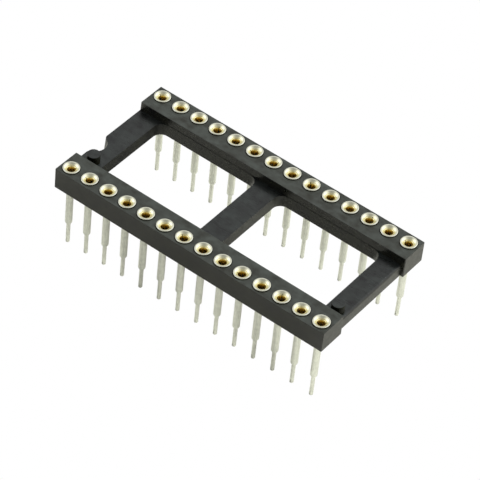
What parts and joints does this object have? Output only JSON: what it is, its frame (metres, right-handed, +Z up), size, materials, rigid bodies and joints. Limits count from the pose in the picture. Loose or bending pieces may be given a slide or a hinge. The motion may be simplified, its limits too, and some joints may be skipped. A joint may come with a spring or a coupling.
{
  "type": "ic socket",
  "caption": "Open-frame dual in-line socket for an integrated circuit, with turned pins that hold it raised above the board and spring clips in their heads.",
  "frame": {"origin": "centre of the pin pattern, at the height where the pins' shoulders rest on the board", "axes": "+X along the rows, from the notched end to the plain end; +Y across, from the row of contacts 1 to 14 to the row of 15 to 28; +Z up, out of the lead holes"},
  "size_m": [0.0354, 0.0176, 0.0111],
  "materials": {
    "frame_black": "satin moulded, glass-filled",
    "sleeve_tin": "turned brass with matte tin plating",
    "clip_gold": "gold-plated spring alloy"
  },
  "bodies": {
    "root": {"insulator_body": "frame_black", "pin_sleeve_01": "sleeve_tin", "pin_sleeve_02": "sleeve_tin", "pin_sleeve_03": "sleeve_tin", "pin_sleeve_04": "sleeve_tin", "pin_sleeve_05": "sleeve_tin", "pin_sleeve_06": "sleeve_tin", "pin_sleeve_07": "sleeve_tin", "pin_sleeve_08": "sleeve_tin", "pin_sleeve_09": "sleeve_tin", "pin_sleeve_10": "sleeve_tin", "pin_sleeve_11": "sleeve_tin", "pin_sleeve_12": "sleeve_tin", "pin_sleeve_13": "sleeve_tin", "pin_sleeve_14": "sleeve_tin", "pin_sleeve_15": "sleeve_tin", "pin_sleeve_16": "sleeve_tin", "pin_sleeve_17": "sleeve_tin", "pin_sleeve_18": "sleeve_tin", "pin_sleeve_19": "sleeve_tin", "pin_sleeve_20": "sleeve_tin", "pin_sleeve_21": "sleeve_tin", "pin_sleeve_22": "sleeve_tin", "pin_sleeve_23": "sleeve_tin", "pin_sleeve_24": "sleeve_tin", "pin_sleeve_25": "sleeve_tin", "pin_sleeve_26": "sleeve_tin", "pin_sleeve_27": "sleeve_tin", "pin_sleeve_28": "sleeve_tin", "contact_clip_01": "clip_gold", "contact_clip_02": "clip_gold", "contact_clip_03": "clip_gold", "contact_clip_04": "clip_gold", "contact_clip_05": "clip_gold", "contact_clip_06": "clip_gold", "contact_clip_07": "clip_gold", "contact_clip_08": "clip_gold", "contact_clip_09": "clip_gold", "contact_clip_10": "clip_gold", "contact_clip_11": "clip_gold", "contact_clip_12": "clip_gold", "contact_clip_13": "clip_gold", "contact_clip_14": "clip_gold", "contact_clip_15": "clip_gold", "contact_clip_16": "clip_gold", "contact_clip_17": "clip_gold", "contact_clip_18": "clip_gold", "contact_clip_19": "clip_gold", "contact_clip_20": "clip_gold", "contact_clip_21": "clip_gold", "contact_clip_22": "clip_gold", "contact_clip_23": "clip_gold", "contact_clip_24": "clip_gold", "contact_clip_25": "clip_gold", "contact_clip_26": "clip_gold", "contact_clip_27": "clip_gold", "contact_clip_28": "clip_gold"}
  },
  "joints": []
}
